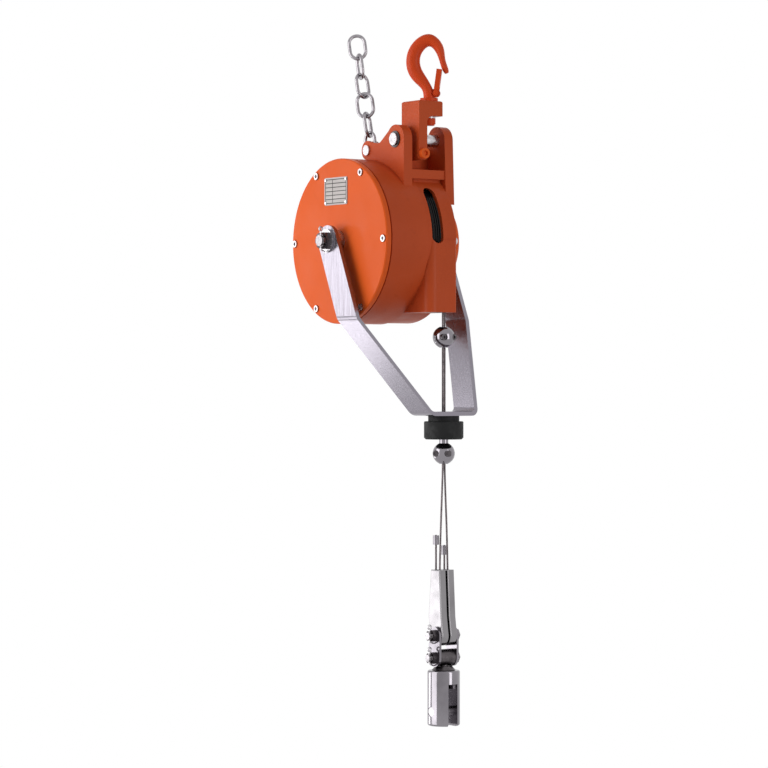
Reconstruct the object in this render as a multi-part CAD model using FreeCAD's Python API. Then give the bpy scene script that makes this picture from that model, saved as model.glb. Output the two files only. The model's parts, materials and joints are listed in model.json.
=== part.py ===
import FreeCAD, Part
import math
import os
from FreeCAD import Vector

os.makedirs("parts", exist_ok=True)

# Tool balancer: a spring-driven rope drum in a cast casing, hung from a swivel hook.
# All lengths are in millimetres and all angles in degrees.
# The pieces are drawn about the drum axis: +Y runs along it from the front cover's outer face,
# +Z is up, and the load ropes hang on the +X side. They are written out about the hook's saddle.

# ------------------------------------------------------------------ clearances
FIT = 0.05            # radial running clearance of a shaft or pin
SEAT = 0.02           # radial clearance of fixed pieces
GAP = 0.3             # gap between faces that move past each other

# ------------------------------------------------------------------ casing
COVER_T = 8.0         # front cover plate
GROOVE_W = 2.0        # parting groove behind the front cover
GROOVE_DEPTH = 3.0
SPRING_CASE_LEN = 64.0
DRUM_CASE_LEN = 51.0
WALL = 6.0            # casting wall
DRUM_WALL = 5.5       # casting wall round the drum
REAR_WEB_T = 5.5      # inner flange that carries the rear cover
REAR_WEB_W = 34.0     # width of that flange
REAR_FLANGE_T = 8.0
REAR_INSET = 10.0     # drum case to the rear cover's edge
BULGE_R = 73.0        # rear cover's bulge at its root
BULGE_NOSE_R = 67.0
BULGE_LEN = 39.0
BULGE_ROUND = 9.0
COVER_BOSS_R = 24.0
COVER_BOSS_LEN = 8.0
SCREW_COUNT = 6
SCREW_EDGE = 8.0      # cover screws to the cover's edge
REAR_SCREW_EDGE = 10.0
SCREW_D = 6.0
SCREW_HEAD_D = 10.0
SCREW_HEAD_H = 6.0
SCREW_SINK = 4.0      # depth of the counterbore
SCREW_LEN = 24.0
BOSS_R = 8.0          # screw bosses inside the spring housing
BOSS_LEN = 26.0
CASSETTE_GAP = 4.0    # spring cassette to the screw bosses

# ------------------------------------------------------------------ rating plate
PLATE_X = -6.0
PLATE_Z = 73.0
PLATE_W = 58.0
PLATE_H = 40.0
PLATE_T = 0.8
PLATE_ROUND = 2.5
RIVET_D = 4.0
RIVET_H = 1.0
RIVET_EDGE = 3.5

# ------------------------------------------------------------------ axle and its nuts
AXLE_D = 20.0
THREAD_D = 16.0
THREAD_END = 1.5      # thread that shows past the nut
NUT_AF = 24.0
NUT_H = 11.0
WASHER_D = 34.0
WASHER_T = 2.0
SPACER_D = 32.0
COTTER_D = 3.0

# ------------------------------------------------------------------ ropes and drum
ROPE_D = 3.0
ROPE_TOP_Z = -2.0     # where a rope leaves its turn round the drum
ROPE_BEND_CUT = 12.0  # straight run given to the bend on each side of a corner
ROPE_SPACING = 3.5    # between the two ropes on the drum and in the clamps
PITCH_STEP = 9.0      # spring cassette's outside to the ropes' centre on the drum
ROPE_Y = 109.0        # middle of the two ropes
GROOVE_COUNT = 9      # rope grooves on the drum
GROOVE_DEEP = 0.8
WOUND_START = 3.0     # where a rope leaves its turn, above the +X side
WOUND_ANGLE = 285.0   # how far each rope lies round the drum
DRUM_FLANGE_H = 3.5
DRUM_RUN_GAP = 1.8    # drum flange to the casing
DRUM_FLANGE_T = 3.0
DRUM_RIM_T = 9.0
DRUM_WEB_T = 7.0
DRUM_HUB_R = 22.0
BUSH_WALL = 3.0
BUSH_LEN = 22.0
BUSH_COLLAR_R = 17.0
BUSH_COLLAR_T = 2.0

# ------------------------------------------------------------------ spring motor
CASSETTE_R = 100.0
CASSETTE_T = 3.0
CASSETTE_LEN = 52.0
ARBOR_R = 18.0
ARBOR_LEN = 46.0
SPRING_T = 2.6
SPRING_W = 42.0
SPRING_TURNS = 7
KEY_W = 5.0

# ------------------------------------------------------------------ rope box below the drum
BOX_REACH = 11.0      # rope line to the outer face of the rope box
BOX_INNER_X = 36.0
BOX_BOTTOM = -104.0
BOX_WALL = 5.0
BOX_ROUND = 14.0
BOX_REAR_ROUND = 4.0
GUIDE_T = 8.0         # nylon rope guide in the bottom of the box
GUIDE_SLOT_IN = 20.0  # how far the exit slot lets the ropes swing inwards
GUIDE_SLOT_OUT = 3.0
GUIDE_SLOT_W = 12.0

# ------------------------------------------------------------------ window in the drum case
WINDOW_Y = 92.0
WINDOW_W = 20.0
WINDOW_LOW = -5.0
WINDOW_HIGH = 76.0

# ------------------------------------------------------------------ ears, pins and cross webs
EAR_T = 15.0
FRONT_EAR_Y = 51.0
REAR_EAR_Y = 124.0
PIN_X = 70.0
PIN_RISE = 26.0       # spring housing's top to the suspension pin
PIN_D = 18.0
LOBE_R = 21.0
CIRCLIP_D = 24.0
CIRCLIP_T = 1.6
CHAIN_PIN_RISE = 14.0
CHAIN_PIN_D = 10.0
CHAIN_LOBE_R = 14.0
CHAIN_SLOT_W = 7.0
NOTCH_X = 30.0        # dip between the two lobes
NOTCH_DROP = 6.0
NOTCH_R = 12.0
REAR_EAR_FOOT = 40.0  # the rear ear runs down to here
BAR_DROP = 44.0       # suspension pin down to the crossbar's top
BAR_H = 13.0
BAR_IN = 30.0
BAR_RECESS = 9.0      # web under the crossbar, set back from its face
STOP_WEB_X = 44.0     # cross web that the tilt screw bears on
STOP_WEB_T = 6.0
STOP_WEB_DROP = 9.0

# ------------------------------------------------------------------ hook block
BLOCK_X0 = 54.0
BLOCK_X1 = 97.0
BLOCK_Y0 = 74.0
BLOCK_Y1 = 116.0
BLOCK_RISE = 56.0     # suspension pin to the block's top
BLOCK_T = 22.0
TONGUE_T = 14.5
TONGUE_DROP = 30.0
TONGUE_FILLET = 10.0
TONGUE_ROUND = 5.0
TILT_SCREW_D = 10.0
TILT_SCREW_HEAD_D = 15.0
TILT_SCREW_HEAD_H = 6.0
TILT_SCREW_DROP = 21.0

# ------------------------------------------------------------------ hook and latch
HOOK_X = 76.0
HOOK_Y = 107.0
HOOK_TURN = 50.0      # turn of the hook's plane from the XZ plane
HOOK_SHANK_D = 16.0
HOOK_COLLAR_D = 26.0
HOOK_COLLAR_H = 5.0
HOOK_NUT_D = 19.0
HOOK_NUT_H = 8.0
THRUST_T = 2.0
HOOK_SADDLE_RISE = 80.0   # block's top to the saddle
LUG_U = 10.5          # latch pivot, sideways from the shank's axis
LUG_RISE = 12.5
LUG_R = 6.0
LUG_T = 5.0
LATCH_PIN_D = 5.0
LATCH_SHEET = 1.5
LATCH_INSIDE = 12.6
LATCH_W = 7.5
LATCH_LEN = 35.0
LATCH_LEAN = 7.7
LATCH_WIRE = 1.1

# ------------------------------------------------------------------ safety chain
LINK_WIRE = 5.0
LINK_PITCH = 30.0
LINK_WIDTH = 28.0
LINK_COUNT = 6
CHAIN_LEAN = 13.0
LINK_TURNS = [0.0, 124.0, 45.0, 100.0, 160.0, 55.0]   # turn of each link about the chain

# ------------------------------------------------------------------ stirrup
STIRRUP_W = 45.0
STIRRUP_T = 6.0
STIRRUP_GAP = 14.0    # front cover to the arm's inner face
STIRRUP_REAR_GAP = 3.0
STIRRUP_BEND_Z = -114.0
STIRRUP_BASE_Z = -247.0
STIRRUP_BASE_FRONT = 40.0   # from the rope line to the end of the flat base
STIRRUP_BASE_REAR = 43.0
STIRRUP_BEND_R = 8.0
STIRRUP_SPARE = 37.5  # flat bar past the finished outline, before it is trimmed
BASE_HOLE_R = 8.0

# ------------------------------------------------------------------ bumper and rope clamps
BUMPER_COLLAR_D = 45.0
BUMPER_COLLAR_H = 8.0
BUMPER_D = 57.0
BUMPER_H = 26.0
BUMPER_CHAMFER = 2.5
BUMPER_HOLE_D = 14.0
CLAMP_D = 32.0
CLAMP_H = 30.0
CLAMP_NECK_D = 13.0
CLAMP_NECK_H = 5.0
CLAMP_SPLIT = 1.0
CLAMP_SEAT = 9.0      # ropes to the screw heads' seats
CLAMP_SCREW_D = 6.0
CLAMP_SCREW_SPACING = 18.0
CLAMP_TRAVEL = 92.0   # rope travel between the two clamps' stops
LOWER_CLAMP_TURN = -48.0

# ------------------------------------------------------------------ wedge sockets
SOCKET_SPACING = 15.0
SOCKET_T = 12.0
SOCKET_TOP_Z = -475.0
SOCKET_BOLT_Z = -569.5
SOCKET_EYE_R = 15.0
SOCKET_MOUTH_OUT = 7.0    # socket's edges from the live rope, at its mouth and at its widest
SOCKET_MOUTH_IN = 13.0
SOCKET_WIDE_OUT = 11.0
SOCKET_WIDE_IN = 19.0
SOCKET_WALL = 3.0
SOCKET_ROUND = 1.5
TAIL_X = 8.5          # dead end, sideways from the live rope
WEDGE_BOTTOM_Z = -535.0
WEDGE_R = 7.0
WEDGE_T = 5.0
FRONT_TAIL_TOP = -425.0
REAR_TAIL_TOP = -440.0
FERRULE_D = 9.0
FERRULE_H = 14.0

# ------------------------------------------------------------------ links, swivel and fork
LINK_PLATE_T = 3.5
LINK_PLATE_R = 13.0
LINK_BOLT_D = 10.0
LINK_NUT_AF = 16.0
LINK_NUT_H = 10.0
EYE_BOLT_Z = -601.5
EYE_R = 12.0
EYE_STEM_D = 12.0
DOME_D = 34.0
DOME_H = 5.5
FORK_D = 47.0
FORK_TOP_Z = -619.5
FORK_LEN = 80.0
FORK_SLOT_W = 16.0
FORK_SLOT_TOP_Z = -639.0
FORK_ROUND = 3.0
FORK_PIN_D = 14.0
FORK_PIN_Z = -679.0
SWIVEL_NUT_D = 15.0
SWIVEL_NUT_H = 8.0

# ------------------------------------------------------------------ places that follow
CASE_Y = COVER_T + GROOVE_W
STEP_Y = CASE_Y + SPRING_CASE_LEN
REAR_Y = STEP_Y + DRUM_CASE_LEN
REAR_WEB_Y = REAR_Y - REAR_WEB_T
FLANGE_Y = REAR_Y + REAR_FLANGE_T
BULGE_Y = FLANGE_Y + BULGE_LEN
SCREW_CIRCLE_R = CASSETTE_R + CASSETTE_GAP + BOSS_R
COVER_R = SCREW_CIRCLE_R + SCREW_EDGE     # front cover and spring housing, outside
SPRING_BORE_R = COVER_R - WALL
DRUM_PITCH_R = CASSETTE_R + PITCH_STEP    # radius at the rope's centre
DRUM_BOTTOM_R = DRUM_PITCH_R - ROPE_D / 2 - GAP
DRUM_FLANGE_R = DRUM_BOTTOM_R + DRUM_FLANGE_H
DRUM_BORE_R = DRUM_FLANGE_R + DRUM_RUN_GAP
DRUM_CASE_R = DRUM_BORE_R + DRUM_WALL
REAR_COVER_R = DRUM_CASE_R - REAR_INSET
REAR_SCREW_CIRCLE_R = REAR_COVER_R - REAR_SCREW_EDGE
REAR_WEB_R = DRUM_CASE_R - REAR_WEB_W
ROPE_X = DRUM_PITCH_R
BOX_X = ROPE_X + BOX_REACH
PIN_Z = COVER_R + PIN_RISE
CHAIN_PIN_Z = COVER_R + CHAIN_PIN_RISE
EAR_EDGE_X = PIN_X + LOBE_R
BAR_HIGH = PIN_Z - BAR_DROP
BAR_LOW = BAR_HIGH - BAR_H
STOP_WEB_HIGH = PIN_Z - STOP_WEB_DROP
BLOCK_TOP = PIN_Z + BLOCK_RISE
BLOCK_UNDER = BLOCK_TOP - BLOCK_T
TONGUE_LOW = PIN_Z - TONGUE_DROP
TILT_SCREW_Z = PIN_Z - TILT_SCREW_DROP
HOOK_SADDLE_Z = BLOCK_TOP + HOOK_SADDLE_RISE
LUG_Z = BLOCK_TOP + LUG_RISE
AXLE_R = AXLE_D / 2
ARM_IN_Y = -STIRRUP_GAP
ARM_OUT_Y = ARM_IN_Y - STIRRUP_T
REAR_ARM_IN_Y = BULGE_Y + STIRRUP_REAR_GAP
REAR_ARM_OUT_Y = REAR_ARM_IN_Y + STIRRUP_T
DRUM_Y0 = STEP_Y + 3.0
DRUM_Y1 = REAR_WEB_Y - 1.0
CASSETTE_Y = DRUM_Y0 - CASSETTE_LEN
REAR_EAR_Y1 = REAR_EAR_Y + EAR_T
FRONT_EAR_Y1 = FRONT_EAR_Y + EAR_T
LINK_Y = FRONT_EAR_Y + EAR_T / 2
BUMPER_LOW_Z = STIRRUP_BASE_Z - STIRRUP_T - BUMPER_COLLAR_H - BUMPER_H
LOWER_CLAMP_Z = BUMPER_LOW_Z - GAP - CLAMP_NECK_H - CLAMP_H / 2
UPPER_CLAMP_Z = STIRRUP_BASE_Z + GAP + CLAMP_TRAVEL + CLAMP_H / 2
ORIGIN = Vector(HOOK_X, HOOK_Y, HOOK_SADDLE_Z)

nodes = {}


# ------------------------------------------------------------------ drawing helpers
def block(x0, x1, y0, y1, z0, z1):
    return Part.makeBox(x1 - x0, y1 - y0, z1 - z0, Vector(x0, y0, z0))


def bar_x(radius, x0, x1, y, z):
    return Part.makeCylinder(radius, x1 - x0, Vector(x0, y, z), Vector(1, 0, 0))


def bar_y(radius, y0, y1, x=0.0, z=0.0):
    return Part.makeCylinder(radius, y1 - y0, Vector(x, y0, z), Vector(0, 1, 0))


def bar_z(radius, z0, z1, x, y):
    return Part.makeCylinder(radius, z1 - z0, Vector(x, y, z0), Vector(0, 0, 1))


def ring_y(outer_r, inner_r, y0, y1, x=0.0, z=0.0):
    return bar_y(outer_r, y0, y1, x, z).cut(bar_y(inner_r, y0, y1, x, z))


def ring_z(outer_r, inner_r, z0, z1, x, y):
    return bar_z(outer_r, z0, z1, x, y).cut(bar_z(inner_r, z0, z1, x, y))


def plate_y(points, y0, y1):
    """Plate from y0 to y1 whose outline is the closed polygon of (x, z) points."""
    corners = [Vector(x, y0, z) for x, z in points]
    face = Part.Face(Part.makePolygon(corners + corners[:1]))
    return face.extrude(Vector(0, y1 - y0, 0))


def turned(points):
    """Solid turned about the drum axis from a closed outline of (radius, y) points."""
    corners = [Vector(radius, y, 0) for radius, y in points]
    face = Part.Face(Part.makePolygon(corners + corners[:1]))
    return face.revolve(Vector(0, 0, 0), Vector(0, 1, 0), 360)


def strap(first, second, y0, y1):
    """Plate wrapped round two circles, each given as (x, z, radius)."""
    x1, z1, r1 = first
    x2, z2, r2 = second
    heading = math.atan2(z2 - z1, x2 - x1)
    lean = math.acos((r1 - r2) / math.hypot(x2 - x1, z2 - z1))
    left = heading + lean
    right = heading - lean
    corners = [(x1 + r1 * math.cos(left), z1 + r1 * math.sin(left)),
               (x2 + r2 * math.cos(left), z2 + r2 * math.sin(left)),
               (x2 + r2 * math.cos(right), z2 + r2 * math.sin(right)),
               (x1 + r1 * math.cos(right), z1 + r1 * math.sin(right))]
    web = plate_y(corners, y0, y1)
    return web.fuse([bar_y(r1, y0, y1, x1, z1), bar_y(r2, y0, y1, x2, z2)]).removeSplitter()


def fuse_all(shapes):
    return shapes[0].fuse(shapes[1:]).removeSplitter()


def aimed(shape, place, direction):
    """A shape drawn along +Z from the origin, moved to a place and turned to a direction."""
    result = shape.copy()
    turn = FreeCAD.Rotation(Vector(0, 0, 1), Vector(*direction))
    result.Placement = FreeCAD.Placement(Vector(*place), turn)
    return result


def hexagon(across_flats, height):
    radius = across_flats / math.sqrt(3)
    corners = [Vector(radius * math.cos(math.radians(60 * k)), radius * math.sin(math.radians(60 * k)), 0)
               for k in range(7)]
    return Part.Face(Part.makePolygon(corners)).extrude(Vector(0, 0, height))


def cap_screw(shank_d, shank_len, head_d, head_h):
    """Socket-head screw: its shank points down -Z from the head's seat at z = 0."""
    socket = hexagon(0.5 * head_d, 0.5 * head_h)
    socket.translate(Vector(0, 0, 0.5 * head_h))
    head = Part.makeCylinder(head_d / 2, head_h).cut(socket)
    shank = Part.makeCylinder(shank_d / 2, shank_len, Vector(0, 0, -shank_len))
    return head.fuse(shank)


def castle_nut(across_flats, height, thread_d):
    """Castle nut standing on z = 0, with six slots in its crown."""
    crown_h = 0.38 * height
    crown_r = 0.46 * across_flats
    nut = hexagon(across_flats, height - crown_h)
    nut = nut.fuse(Part.makeCylinder(crown_r, height, Vector(0, 0, 0)))
    nut = nut.cut(Part.makeCylinder(thread_d / 2 + SEAT, height))
    slot_w = COTTER_D + 0.6
    for k in range(3):
        corner = Vector(-crown_r - 1, -slot_w / 2, height - crown_h)
        slot = Part.makeBox(2 * crown_r + 2, slot_w, crown_h, corner)
        slot.rotate(Vector(0, 0, 0), Vector(0, 0, 1), 60 * k + 30)
        nut = nut.cut(slot)
    return nut


def cotter_pin(wire_d, span):
    """Split pin through the middle of a bolt: eye at one end, legs bent over at the other."""
    shank = Part.makeCylinder(wire_d / 2, span, Vector(0, 0, -span / 2))
    eye = Part.makeTorus(0.9 * wire_d, 0.4 * wire_d, Vector(0, 0, span / 2 + 1.0 * wire_d), Vector(1, 0, 0))
    start = Vector(0, 0, 0.35 * wire_d - span / 2)
    leg = Part.makeCylinder(0.35 * wire_d, 2.6 * wire_d, start, Vector(0, 1, -0.35))
    return shank.fuse([eye, leg])


def solids_of(*shapes):
    return Part.makeCompound([solid for shape in shapes for solid in shape.Solids])


def save(name, shape):
    """Keep a node, moved so that the hook's saddle is the origin."""
    moved = shape.copy()
    moved.translate(ORIGIN.negative())
    nodes[name] = moved


# ------------------------------------------------------------------ casing
def screw_places(radius, count):
    return [(radius * math.cos(2 * math.pi * k / count), radius * math.sin(2 * math.pi * k / count))
            for k in range(count)]


def front_ear():
    """Upright lug with a lobe for the suspension pin and a lower one for the chain pin."""
    foot = 0.5 * COVER_R
    side = (PIN_X - 0.8 * LOBE_R, PIN_Z + 0.6 * LOBE_R)
    chain_side = (0.55 * CHAIN_LOBE_R, CHAIN_PIN_Z + 0.83 * CHAIN_LOBE_R)
    dip = (NOTCH_X, CHAIN_PIN_Z + CHAIN_LOBE_R - NOTCH_DROP)
    plate = plate_y([(EAR_EDGE_X, foot), (EAR_EDGE_X, PIN_Z), (PIN_X, PIN_Z), side, dip, chain_side,
                     (0, CHAIN_PIN_Z), (-CHAIN_LOBE_R, foot)], FRONT_EAR_Y, FRONT_EAR_Y1)
    corner = [edge for edge in plate.Edges if edge.BoundBox.YLength > 1
              and abs(edge.BoundBox.XMin - dip[0]) < 0.01 and abs(edge.BoundBox.ZMin - dip[1]) < 0.01]
    plate = plate.makeFillet(NOTCH_R, corner)
    return fuse_all([plate, bar_y(LOBE_R, FRONT_EAR_Y, FRONT_EAR_Y1, PIN_X, PIN_Z),
                     bar_y(CHAIN_LOBE_R, FRONT_EAR_Y, FRONT_EAR_Y1, 0, CHAIN_PIN_Z)])


def rear_ear():
    """Upright lug at the drum case's end; its outer edge runs on down beside the rear cover."""
    side = (PIN_X - 0.8 * LOBE_R, PIN_Z + 0.6 * LOBE_R)
    plate = plate_y([(EAR_EDGE_X + 4, REAR_EAR_FOOT), (EAR_EDGE_X, PIN_Z), (PIN_X, PIN_Z), side,
                     (0.2 * EAR_EDGE_X, 0.9 * DRUM_CASE_R), (0.2 * EAR_EDGE_X, REAR_EAR_FOOT)],
                    REAR_EAR_Y, REAR_EAR_Y1)
    return fuse_all([plate, bar_y(LOBE_R, REAR_EAR_Y, REAR_EAR_Y1, PIN_X, PIN_Z)])


def rope_box(inset, low, high_y, low_y):
    """Body of the rope box, drawn in by an inset on its sides."""
    round_r = BOX_ROUND - inset
    x0 = BOX_INNER_X + inset
    x1 = BOX_X - inset
    body = block(x0, x1, low_y, high_y, low, 0)
    upright = [edge for edge in body.Edges
               if abs(edge.BoundBox.XMin - x1) < 0.01 and edge.BoundBox.ZLength > 10]
    front = [edge for edge in upright if edge.BoundBox.YMax < (low_y + high_y) / 2]
    body = body.makeFillet(round_r, front)
    if BOX_REAR_ROUND > inset:
        rear = [edge for edge in body.Edges if abs(edge.BoundBox.XMin - x1) < 0.01
                and edge.BoundBox.XLength < 0.01 and edge.BoundBox.YLength < 0.01
                and edge.BoundBox.YMin > high_y - 0.01]
        body = body.makeFillet(BOX_REAR_ROUND - inset, rear)
    return body


def window_cutter():
    half = WINDOW_W / 2
    slot = block(DRUM_BORE_R * 0.72, BOX_X + 5, WINDOW_Y - half, WINDOW_Y + half,
                 WINDOW_LOW + half, WINDOW_HIGH - half)
    ends = [bar_x(half, DRUM_BORE_R * 0.72, BOX_X + 5, WINDOW_Y, z)
            for z in (WINDOW_LOW + half, WINDOW_HIGH - half)]
    return slot.fuse(ends)


def main_housing():
    shell = [bar_y(COVER_R, CASE_Y, STEP_Y), bar_y(DRUM_CASE_R, STEP_Y, REAR_Y),
             rope_box(0, BOX_BOTTOM, REAR_Y, STEP_Y)]
    shell += [front_ear(), rear_ear()]
    shell.append(block(EAR_EDGE_X - BAR_IN, EAR_EDGE_X, FRONT_EAR_Y1 - 1, REAR_EAR_Y + 1, BAR_LOW, BAR_HIGH))
    shell.append(block(EAR_EDGE_X - BAR_IN, EAR_EDGE_X - BAR_RECESS, FRONT_EAR_Y1 - 1, REAR_EAR_Y + 1,
                       0.6 * DRUM_CASE_R, BAR_LOW + 1))
    shell.append(block(STOP_WEB_X, STOP_WEB_X + STOP_WEB_T, FRONT_EAR_Y1 - 1, REAR_EAR_Y + 1,
                       0.9 * BAR_LOW, STOP_WEB_HIGH))
    casting = shell[0].fuse(shell[1:])
    casting = casting.cut(bar_y(REAR_COVER_R + GAP, REAR_Y, REAR_EAR_Y1 + 1))
    hollow = [bar_y(SPRING_BORE_R, CASE_Y, STEP_Y), bar_y(DRUM_BORE_R, STEP_Y, REAR_WEB_Y),
              bar_y(REAR_WEB_R, REAR_WEB_Y, REAR_Y)]
    inner_box = rope_box(BOX_WALL, BOX_BOTTOM + GUIDE_T, REAR_Y - BOX_WALL, STEP_Y + BOX_WALL)
    hollow.append(inner_box)
    hollow.append(guide_blank(0, BOX_BOTTOM - 1, BOX_BOTTOM + GUIDE_T))
    casting = casting.cut(hollow + [window_cutter()])
    bosses = []
    for x, z in screw_places(SCREW_CIRCLE_R, SCREW_COUNT):
        boss = bar_y(BOSS_R, CASE_Y, CASE_Y + BOSS_LEN, x, z)
        bosses.append(boss.common(bar_y(COVER_R - 1, CASE_Y, STEP_Y)))
    casting = casting.fuse(bosses)
    tools = [bar_y(SCREW_D / 2 + SEAT, CASE_Y, CASE_Y + SCREW_LEN - 4, x, z)
             for x, z in screw_places(SCREW_CIRCLE_R, SCREW_COUNT)]
    tools += [bar_y(SCREW_D / 2 + SEAT, REAR_WEB_Y, REAR_Y, x, z)
              for x, z in screw_places(REAR_SCREW_CIRCLE_R, SCREW_COUNT)]
    tools.append(bar_y(PIN_D / 2 + SEAT, FRONT_EAR_Y - 1, REAR_EAR_Y1 + 1, PIN_X, PIN_Z))
    tools.append(bar_y(CHAIN_PIN_D / 2 + SEAT, FRONT_EAR_Y - 1, FRONT_EAR_Y1 + 1, 0, CHAIN_PIN_Z))
    half = CHAIN_SLOT_W / 2
    tools.append(block(-2 * CHAIN_LOBE_R, CHAIN_LOBE_R + 2, LINK_Y - half, LINK_Y + half, COVER_R + 0.5,
                       CHAIN_PIN_Z + 2 * CHAIN_LOBE_R))
    save("main_housing", casting.cut(tools))


def guide_blank(inset, low, high):
    """Outline of the nylon rope guide and of its pocket."""
    x0 = ROPE_X - GUIDE_SLOT_IN - 8 + inset
    return block(x0, BOX_X - BOX_WALL - 1 - inset, ROPE_Y - 14 + inset, ROPE_Y + 11 - inset, low, high)


def rope_guide():
    body = guide_blank(SEAT, BOX_BOTTOM, BOX_BOTTOM + GUIDE_T)
    half = GUIDE_SLOT_W / 2
    inner = ROPE_X - GUIDE_SLOT_IN + half
    outer = ROPE_X + GUIDE_SLOT_OUT - half + 2
    slot = block(inner, outer, ROPE_Y - half, ROPE_Y + half, BOX_BOTTOM - 1, BOX_BOTTOM + GUIDE_T + 1)
    ends = [bar_z(half, BOX_BOTTOM - 1, BOX_BOTTOM + GUIDE_T + 1, x, ROPE_Y) for x in (inner, outer - 2)]
    save("rope_guide", body.cut(fuse_all([slot] + ends)))


def front_cover():
    plate = turned([(0, 0), (COVER_R - 1.5, 0), (COVER_R, 1.5), (COVER_R, COVER_T),
                    (COVER_R - GROOVE_DEPTH, COVER_T), (COVER_R - GROOVE_DEPTH, CASE_Y),
                    (COVER_BOSS_R, CASE_Y), (COVER_BOSS_R, CASE_Y + COVER_BOSS_LEN),
                    (0, CASE_Y + COVER_BOSS_LEN)])
    tools = [bar_y(AXLE_R + SEAT, -1, CASE_Y + COVER_BOSS_LEN + 1)]
    for x, z in screw_places(SCREW_CIRCLE_R, SCREW_COUNT):
        tools.append(bar_y(SCREW_D / 2 + SEAT, -1, CASE_Y + 1, x, z))
        tools.append(bar_y(SCREW_HEAD_D / 2 + 0.7, -1, SCREW_SINK, x, z))
    save("front_cover", plate.cut(tools))
    screws = [aimed(cap_screw(SCREW_D, SCREW_LEN, SCREW_HEAD_D, SCREW_HEAD_H), (x, SCREW_SINK, z), (0, -1, 0))
              for x, z in screw_places(SCREW_CIRCLE_R, SCREW_COUNT)]
    save("cover_screws", solids_of(*screws))


def rating_plate():
    x0 = PLATE_X - PLATE_W / 2
    z0 = PLATE_Z - PLATE_H / 2
    body = block(x0, x0 + PLATE_W, -PLATE_T, 0, z0, z0 + PLATE_H)
    corners = [edge for edge in body.Edges if edge.BoundBox.YLength > PLATE_T / 2]
    body = body.makeFillet(PLATE_ROUND, corners)
    rivets = []
    holes = []
    for side_x in (-1, 1):
        for side_z in (-1, 1):
            x = PLATE_X + side_x * (PLATE_W / 2 - RIVET_EDGE)
            z = PLATE_Z + side_z * (PLATE_H / 2 - RIVET_EDGE)
            holes.append(bar_y(RIVET_D / 4 + SEAT, -PLATE_T - 1, 1, x, z))
            head = bar_y(RIVET_D / 2, -PLATE_T - RIVET_H, -PLATE_T, x, z)
            rivets.append(head.fuse(bar_y(RIVET_D / 4, -PLATE_T, 0, x, z)))
    save("rating_plate", body.cut(holes))
    save("plate_rivets", solids_of(*rivets))


def rear_cover():
    t = WALL
    outer = [(0, REAR_Y), (REAR_COVER_R, REAR_Y), (REAR_COVER_R, FLANGE_Y - 1.5),
             (REAR_COVER_R - 1.5, FLANGE_Y), (BULGE_R, FLANGE_Y), (BULGE_NOSE_R, BULGE_Y), (0, BULGE_Y)]
    solid = turned(outer)
    rim = [edge for edge in solid.Edges if abs(edge.BoundBox.YMin - BULGE_Y) < 0.01
           and edge.BoundBox.YLength < 0.01 and edge.BoundBox.XLength > BULGE_NOSE_R]
    solid = solid.makeFillet(BULGE_ROUND, rim)
    hollow = turned([(0, REAR_Y - 1), (BULGE_R - t, REAR_Y - 1), (BULGE_NOSE_R - t, BULGE_Y - t - 2),
                     (BULGE_NOSE_R - t - 5, BULGE_Y - t), (0, BULGE_Y - t)])
    boss = bar_y(COVER_BOSS_R, BULGE_Y - t - 6, BULGE_Y - t)
    shell = solid.cut(hollow).fuse(boss)
    tools = [bar_y(AXLE_R + SEAT, BULGE_Y - 20, BULGE_Y + 1)]
    for x, z in screw_places(REAR_SCREW_CIRCLE_R, SCREW_COUNT):
        tools.append(bar_y(SCREW_D / 2 + SEAT, REAR_Y - 1, FLANGE_Y + 1, x, z))
    save("rear_cover", shell.cut(tools))
    length = REAR_FLANGE_T + REAR_WEB_T - 0.5
    screws = [aimed(cap_screw(SCREW_D, length, SCREW_HEAD_D, SCREW_HEAD_H), (x, FLANGE_Y, z), (0, 1, 0))
              for x, z in screw_places(REAR_SCREW_CIRCLE_R, SCREW_COUNT)]
    save("rear_cover_screws", solids_of(*screws))


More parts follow.
